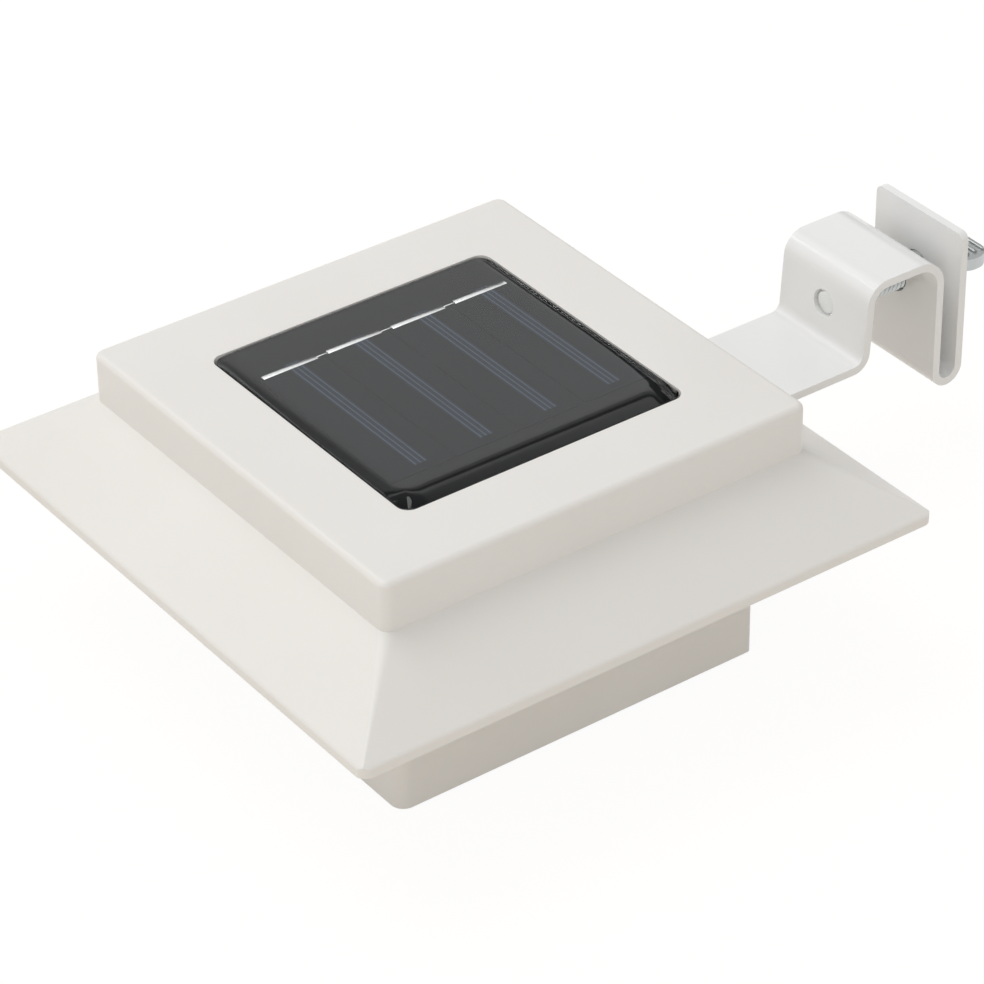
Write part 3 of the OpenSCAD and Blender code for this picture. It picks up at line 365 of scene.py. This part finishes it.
# %% Bars and links
low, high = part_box("cell_ribbon")
line_x, line_z = (low[0] + high[0]) / 2, high[2]
bar_half, bar_width, link_width, lap, thick = 0.42 * strip, 1.2 * mm, 0.4 * mm, 0.3 * mm, 0.24 * mm
bars, links = [], []
for k, shift in enumerate((0.05, -0.1, 0.12, -0.05)):
    middle = first_strip + (k + 0.5) * strip - strip_gap / 2
    start_y, end_y = max(middle - bar_half, low[1]), min(middle + bar_half, high[1])
    if bars:
        links.append((line_x, bars[-1][2] - lap, start_y + lap, link_width))
    bars.append((line_x + shift * mm, start_y, end_y, bar_width))
bpy.ops.object.select_all(action="DESELECT")
made = []
for x, start_y, end_y, width in bars + links:
    bpy.ops.mesh.primitive_cube_add(size=1, location=(x, (start_y + end_y) / 2, line_z - 0.1 * mm))
    bar = bpy.context.view_layer.objects.active
    bar.scale = (width, end_y - start_y, thick)
    bpy.ops.object.transform_apply(location=True, rotation=True, scale=True)
    soft = bar.modifiers.new("soft", "BEVEL")
    soft.width, soft.segments = 0.1 * mm, 3
    bpy.ops.object.modifier_apply(modifier="soft")
    made.append(bar)
for bar in made:
    bar.select_set(True)
bpy.context.view_layer.objects.active = made[0]
bpy.ops.object.join()
ribbon = made[0]
ribbon.name = "ribbon_bars"
bpy.ops.object.shade_smooth_by_angle(angle=math.radians(40))
ribbon.data.materials.append(tinned)
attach(ribbon, "lamp")
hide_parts("cell_ribbon")
print("ribbon:", len(bars), "bars,", len(links), "links", [round(v / mm, 2) for v in (line_x, line_z)])

# %% [markdown]
# ## Boards
# Circuit boards are glass cloth in resin under a lacquer. The cloth's weave shows faintly as a grid of bumps, six
# hundredths of a millimetre high. The panel's board is black, the lamps' board white and the control board green. The
# black one lies under resin of nearly its lacquer's index, so it hardly glosses.

# %% Three lacquered boards
for name, light, dark, shine, node in (("black_board_lacquer", "1D1F20", "181A1B", 0.1, "panel_board"),
                                       ("white_board_lacquer", "F0F1EE", "E6E8E4", 0.5, "led_board"),
                                       ("green_board_lacquer", "2F6F47", "245638", 0.5, "control_board")):
    lacquer, tree, place = start(name)
    weave = add(tree, "ShaderNodeTexBrick", {"Vector": place, "Scale": 1400.0, "Mortar Size": 0.08}, out="Fac")
    cloud = add(tree, "ShaderNodeTexNoise", {"Vector": place, "Scale": 120.0, "Detail": 2.0}, out="Fac")
    tone = add(tree, "ShaderNodeMix", {"Factor": cloud, "A": paint(light), "B": paint(dark)}, out="Result",
               data_type="RGBA")
    skin = add(tree, "ShaderNodeBump", {"Height": weave, "Strength": 0.2, "Distance": 0.06 * mm}, out="Normal")
    board = add(tree, "ShaderNodeBsdfPrincipled", {
        "Base Color": tone, "Roughness": 0.35, "IOR": 1.5, "Specular IOR Level": shine, "Normal": skin}, out="BSDF")
    add(tree, "ShaderNodeOutputMaterial", {"Surface": board})
    dress(lacquer, node)

# %% [markdown]
# ## Opaque plastics and rubber
# The small hidden pieces follow one recipe: two close tones mixed by a noise, a roughness and a fine bump. A table
# holds what differs. Silicone is soft and dull, a shrunk sleeve is smooth and glossy, and polypropylene is between.

# %% A table of plain finishes
plain = {
    "white_silicone": ("E9EAE8", "DEE0DD", 0.5, 1.41, 900.0, ["panel_bead"]),
    "black_polypropylene": ("232425", "2D2E30", 0.45, 1.49, 2200.0,
                            ["switch_body", "switch_knob", "battery_holder"]),
    "green_shrink_sleeve": ("4F8446", "5C9350", 0.25, 1.53, 500.0, ["battery"]),
    "black_epoxy": ("242628", "303335", 0.5, 1.55, 2600.0, ["control_parts"]),
    "red_lead_sleeve": ("AE342A", "BC4036", 0.4, 1.53, 1200.0,
                        ["panel_leads", "battery_leads", "led_leads", "switch_leads"]),
}
for name, (first, second, rough, index, scale, names) in plain.items():
    made, tree, place = start(name)
    noise = add(tree, "ShaderNodeTexNoise", {"Vector": place, "Scale": scale, "Detail": 3.0}, out="Fac")
    tone = add(tree, "ShaderNodeMix", {"Factor": noise, "A": paint(first), "B": paint(second)}, out="Result",
               data_type="RGBA")
    skin = add(tree, "ShaderNodeBump", {"Height": noise, "Strength": 0.15, "Distance": 0.05 * mm}, out="Normal")
    body = add(tree, "ShaderNodeBsdfPrincipled", {
        "Base Color": tone, "Roughness": rough, "IOR": index, "Normal": skin}, out="BSDF")
    add(tree, "ShaderNodeOutputMaterial", {"Surface": body})
    dress(made, *names)

# %% [markdown]
# ## Lens, reflector and lamps
# The lens spreads the light with rows of small pyramids: two triangle waves two millimetres long, one along X and
# one along Y, added up as a bump. The reflector is plastic with a thin metal film, and the lamps are clear resin.

# %% Clear lens
lens, tree, place = start("clear_prismatic_acrylic")
split = add(tree, "ShaderNodeSeparateXYZ", {"Vector": place})
rows = add(tree, "ShaderNodeMath", {0: split.outputs["X"], 1: 1 * mm}, out="Value", operation="PINGPONG")
lanes = add(tree, "ShaderNodeMath", {0: split.outputs["Y"], 1: 1 * mm}, out="Value", operation="PINGPONG")
prisms = add(tree, "ShaderNodeMath", {0: rows, 1: lanes}, out="Value", operation="ADD")
high_place = add(tree, "ShaderNodeMath", {0: prisms, 1: 1000.0}, out="Value", operation="MULTIPLY")
skin = add(tree, "ShaderNodeBump", {"Height": high_place, "Strength": 0.6, "Distance": 0.3 * mm}, out="Normal")
clear = add(tree, "ShaderNodeBsdfPrincipled", {
    "Base Color": paint("F6F8F8"), "Roughness": 0.06, "IOR": 1.49, "Transmission Weight": 1.0, "Normal": skin},
    out="BSDF")
add(tree, "ShaderNodeOutputMaterial", {"Surface": clear})
dress(lens, "lens")

# %% Metal film and lamps
film, tree, place = start("vacuum_metallised_film")
cloud = add(tree, "ShaderNodeTexNoise", {"Vector": place, "Scale": 200.0, "Detail": 2.0}, out="Fac")
gloss = add(tree, "ShaderNodeMapRange", {"Value": cloud, "To Min": 0.08, "To Max": 0.18}, out="Result")
mirror = add(tree, "ShaderNodeBsdfPrincipled", {
    "Base Color": paint("DFE1E2"), "Metallic": 1.0, "Roughness": gloss}, out="BSDF")
add(tree, "ShaderNodeOutputMaterial", {"Surface": mirror})
dress(film, "reflector")

lamp_resin, tree, place = start("clear_lamp_resin")
cloud = add(tree, "ShaderNodeTexNoise", {"Vector": place, "Scale": 300.0, "Detail": 1.0}, out="Fac")
tone = add(tree, "ShaderNodeMix", {"Factor": cloud, "A": paint("F5F3E4"), "B": paint("FAF9F0")}, out="Result",
           data_type="RGBA")
bulb = add(tree, "ShaderNodeBsdfPrincipled", {
    "Base Color": tone, "Roughness": 0.08, "IOR": 1.53, "Transmission Weight": 0.9}, out="BSDF")
add(tree, "ShaderNodeOutputMaterial", {"Surface": bulb})
dress(lamp_resin, "leds")

# %% [markdown]
# ## The screw's thread
# The stud of the thumb screw is an M6 thread with a pitch of one millimetre. A zigzag that is one pitch long is
# swept round and up by a Screw modifier, and each turn joins the next. The two ends are cut flat and closed, the
# first one is chamfered, and the neck and the head that hold the cap are joined to it. The new piece stands for the
# plain stud of the frame, inside its outline.

# %% Sweep, trim and place the thread
low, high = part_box("screw_stud")
axis_z = (low[2] + high[2]) / 2
neck_end, tail = low[1] + 2.3 * mm, high[1]
crest, root, pitch, chamfer_start, weld = 2.98 * mm, 2.42 * mm, 1 * mm, 2.3 * mm, 0.002 * mm
turns = math.ceil((tail - neck_end) / pitch) + 2
shape = bpy.data.meshes.new("screw_thread")
zigzag = [(root, 0), (root, 0.1), (crest, 0.46), (crest, 0.64), (root, 1)]
shape.from_pydata([(r, 0, z * pitch) for r, z in zigzag], [(i, i + 1) for i in range(4)], [])
thread = bpy.data.objects.new("screw_thread", shape)
bpy.context.scene.collection.objects.link(thread)
bpy.ops.object.select_all(action="DESELECT")
thread.select_set(True)
bpy.context.view_layer.objects.active = thread
sweep = thread.modifiers.new("sweep", "SCREW")
sweep.axis, sweep.angle, sweep.screw_offset = "Z", math.tau, pitch
sweep.iterations, sweep.steps, sweep.render_steps = turns, 40, 40
sweep.use_merge_vertices, sweep.merge_threshold = True, 0.001 * mm
bpy.ops.object.modifier_apply(modifier="sweep")
bpy.ops.object.mode_set(mode="EDIT")
bpy.ops.mesh.select_all(action="SELECT")
bpy.ops.mesh.remove_doubles(threshold=weld)
bpy.ops.mesh.bisect(plane_co=(0, 0, pitch), plane_no=(0, 0, -1), use_fill=True, clear_outer=True)
bpy.ops.mesh.select_all(action="SELECT")
bpy.ops.mesh.bisect(plane_co=(0, 0, pitch + tail - neck_end), plane_no=(0, 0, 1), use_fill=True, clear_outer=True)
bpy.ops.mesh.select_all(action="SELECT")
bpy.ops.mesh.normals_make_consistent(inside=False)
bpy.ops.object.mode_set(mode="OBJECT")
for vertex in thread.data.vertices:
    reach = math.hypot(vertex.co.x, vertex.co.y)
    limit = chamfer_start + max(vertex.co.z - pitch, 0)
    if reach > limit:
        vertex.co.x *= limit / reach
        vertex.co.y *= limit / reach
thread.data.transform(Matrix.Translation((0, neck_end - pitch, axis_z)) @ Matrix.Rotation(-math.pi / 2, 4, "X"))
print("thread:", turns - 2, "turns,", len(thread.data.polygons), "faces")

# %% Neck and head for the cap, joined to the thread
tip = low[1]
for radius, first, last in ((1.6 * mm, tip, tip + 1 * mm), (1 * mm, tip + 0.5 * mm, neck_end + 0.3 * mm)):
    bpy.ops.mesh.primitive_cylinder_add(vertices=48, radius=radius, depth=last - first,
                                        location=(0, (first + last) / 2, axis_z), rotation=(math.pi / 2, 0, 0))
    bpy.ops.object.transform_apply(location=True, rotation=True, scale=True)
    bpy.context.view_layer.objects.active.name = "neck"
bpy.ops.object.select_all(action="DESELECT")
for piece in bpy.context.scene.objects:
    if piece.name.startswith("neck") or piece is thread:
        piece.select_set(True)
bpy.context.view_layer.objects.active = thread
bpy.ops.object.join()
bpy.ops.object.shade_smooth_by_angle(angle=math.radians(28))
thread.data.materials.clear()
thread.data.materials.append(zinc_plate)
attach(thread, "thumb_screw")
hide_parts("screw_stud")
print("stud with thread:", len(thread.data.polygons), "faces")

# %% [markdown]
# ## Soft hips on the skirt
# The four slopes of the skirt meet in hips that the mould rounds, so light runs softly round them. A copy of the
# top housing gets its welded mesh back. A hip is a long edge that slopes along a diagonal, and the wall's inner face
# has one below each outer one, so the highest of each quarter is taken. These four are bevelled. The copy stands for
# the solid and keeps its finish.

# %% Rounded hips
soft_top = nodes["top_housing"].copy()
soft_top.data = nodes["top_housing"].data.copy()
soft_top.name = "soft_top"
bpy.context.scene.collection.objects.link(soft_top)
soft_top.parent = None
soft_top.matrix_world = Matrix.Identity(4)
bpy.ops.object.select_all(action="DESELECT")
soft_top.select_set(True)
bpy.context.view_layer.objects.active = soft_top
bpy.ops.object.mode_set(mode="EDIT")
bpy.ops.mesh.select_all(action="SELECT")
bpy.ops.mesh.customdata_custom_splitnormals_clear()
bpy.ops.mesh.remove_doubles(threshold=weld)
bpy.ops.mesh.dissolve_limited(angle_limit=math.radians(0.3))
bpy.ops.mesh.select_all(action="DESELECT")
bpy.ops.object.mode_set(mode="OBJECT")
hips = {}
off_diagonal, shortest, hip_slope = 0.3 * mm, 8 * mm, 0.7
for line in soft_top.data.edges:
    first, last = (soft_top.data.vertices[k].co for k in line.vertices)
    on_hip = all(abs(abs(c.x) - abs(c.y)) < off_diagonal for c in (first, last))
    if on_hip and abs(first.z - last.z) > shortest and abs(first.x - last.x) > shortest:
        middle = (first + last) / 2
        height, quarter = middle.z + hip_slope * abs(middle.x), (middle.x > 0, middle.y > 0)
        if quarter not in hips or hips[quarter][0] < height:
            hips[quarter] = (height, line)
for height, line in hips.values():
    line.select = True
print("hips to round:", len(hips))
bpy.ops.object.mode_set(mode="EDIT")
bpy.ops.mesh.select_mode(type="EDGE")
bpy.ops.mesh.bevel(offset=4.2 * mm, offset_type="OFFSET", segments=12, profile=0.5, affect="EDGES")
bpy.ops.object.mode_set(mode="OBJECT")
bpy.ops.object.shade_smooth_by_angle(angle=math.radians(20))
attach(soft_top, "lamp")
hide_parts("top_housing")
print("top housing with soft hips:", len(soft_top.data.polygons), "faces")

# %% [markdown]
# ## A plain studio
# The lamp stands on a pale floor in white surroundings. The world shines evenly from all sides, and three soft area
# lights add the photograph's direction: a large one above and a little in front, a weak one by the camera and a
# weaker one low in front, which reaches the box. For rays that see the background straight, mirrored or through
# glass, the floor and the world are made white. High above the white walls, mirrored rays find a darker ceiling with
# a black gap before it, and a black flag stands to the rear, above the horizon. The resin's rounded border leans far
# enough to mirror them, and so it gets the photograph's black line, its grey band and its black corner. A fourth
# light is small and bright, and only there for the soft streaks along the strap's bends. The floor's paper is a
# warm cream, and so is the light that it throws up on the box and the inner leg.

# %% Floor, world and lights
bpy.ops.mesh.primitive_plane_add(size=6, location=(0, 0, -0.0004))
floor = bpy.context.view_layer.objects.active
floor.name = "studio_floor"
floor_paint, tree = start("studio_paper")[:2]
path = add(tree, "ShaderNodeLightPath")
seen = add(tree, "ShaderNodeMath", {0: path.outputs["Is Camera Ray"], 1: path.outputs["Is Glossy Ray"]},
           out="Value", operation="MAXIMUM")
seen = add(tree, "ShaderNodeMath", {0: seen, 1: path.outputs["Is Transmission Ray"]}, out="Value",
           operation="MAXIMUM")
share = add(tree, "ShaderNodeMath", {0: seen, 1: 0.88}, out="Value", operation="MULTIPLY")
paper = add(tree, "ShaderNodeBsdfDiffuse", {"Color": paint("E5DCCF")}, out="BSDF")
glow = add(tree, "ShaderNodeEmission", {"Color": (1, 1, 1, 1), "Strength": 1.06}, out="Emission")
both = add(tree, "ShaderNodeMixShader", {0: share, 1: paper, 2: glow}, out="Shader")
add(tree, "ShaderNodeOutputMaterial", {"Surface": both})
floor.data.materials.append(floor_paint)

world = bpy.data.worlds.new("white_studio")
world.use_nodes = True
tree = world.node_tree
tree.nodes.clear()
path = add(tree, "ShaderNodeLightPath")
seen = add(tree, "ShaderNodeMath", {0: path.outputs["Is Camera Ray"], 1: path.outputs["Is Glossy Ray"]},
           out="Value", operation="MAXIMUM")
seen = add(tree, "ShaderNodeMath", {0: seen, 1: path.outputs["Is Transmission Ray"]}, out="Value",
           operation="MAXIMUM")
toward = add(tree, "ShaderNodeTexCoord", out="Generated")
split = add(tree, "ShaderNodeSeparateXYZ", {"Vector": toward})
ceiling = add(tree, "ShaderNodeValToRGB", {"Fac": split.outputs["Z"]})
ceiling.color_ramp.elements[0].position, ceiling.color_ramp.elements[0].color = 0.62, (1, 1, 1, 1)
ceiling.color_ramp.elements[1].position, ceiling.color_ramp.elements[1].color = 0.66, (0.45, 0.45, 0.45, 1)
for height, share in ((0.69, 0.5), (0.72, 0.06), (0.75, 0.06), (0.77, 0.9), (0.8, 0.85), (0.84, 0.2), (0.96, 0.12)):
    ceiling.color_ramp.elements.new(height).color = (share, share, share, 1)
rearward = add(tree, "ShaderNodeMapRange", {"Value": split.outputs["Y"], "From Min": 0.62, "From Max": 0.69},
               out="Result")
raised = add(tree, "ShaderNodeMapRange", {"Value": split.outputs["Z"], "From Min": 0.06, "From Max": 0.16},
             out="Result")
flag = add(tree, "ShaderNodeMath", {0: rearward, 1: raised}, out="Value", operation="MULTIPLY")
unflagged = add(tree, "ShaderNodeMapRange", {"Value": flag, "To Min": 1.0, "To Max": 0.04}, out="Result")
overhead = add(tree, "ShaderNodeMath", {0: ceiling.outputs["Color"], 1: unflagged}, out="Value",
               operation="MULTIPLY")
outside = add(tree, "ShaderNodeMath", {0: path.outputs["Is Glossy Ray"], 1: path.outputs["Is Transmission Ray"]},
              out="Value", operation="SUBTRACT", use_clamp=True)
mirrored = add(tree, "ShaderNodeMix", {"Factor": outside, "A": 1.0, "B": overhead}, out="Result",
               data_type="FLOAT")
level = add(tree, "ShaderNodeMix", {"Factor": seen, "A": 0.62, "B": mirrored}, out="Result", data_type="FLOAT")
sky = add(tree, "ShaderNodeBackground", {"Color": (1, 1, 1, 1), "Strength": level}, out="Background")
add(tree, "ShaderNodeOutputWorld", {"Surface": sky})
bpy.context.scene.world = world

for name, spot, size, power in (("key", (-0.3, -0.21, 1.0), 0.7, 3.45),
                                ("fill", (0.85, -0.6, 0.45), 0.5, 1.1),
                                ("low", (-0.1, -1.0, 0.25), 0.4, 0.45),
                                ("streak", (-0.75, -0.33, 0.72), 0.15, 0.34)):
    lamp_data = bpy.data.lights.new(name, "AREA")
    lamp_data.size, lamp_data.energy = size, power
    lamp = bpy.data.objects.new(name, lamp_data)
    bpy.context.scene.collection.objects.link(lamp)
    aim = Vector((0, 0.03, 0.03)) - Vector(spot)
    lamp.matrix_world = Matrix.Translation(spot) @ aim.to_track_quat("-Z", "Y").to_matrix().to_4x4()
bpy.context.scene.view_settings.view_transform = "Standard"
print("studio ready")
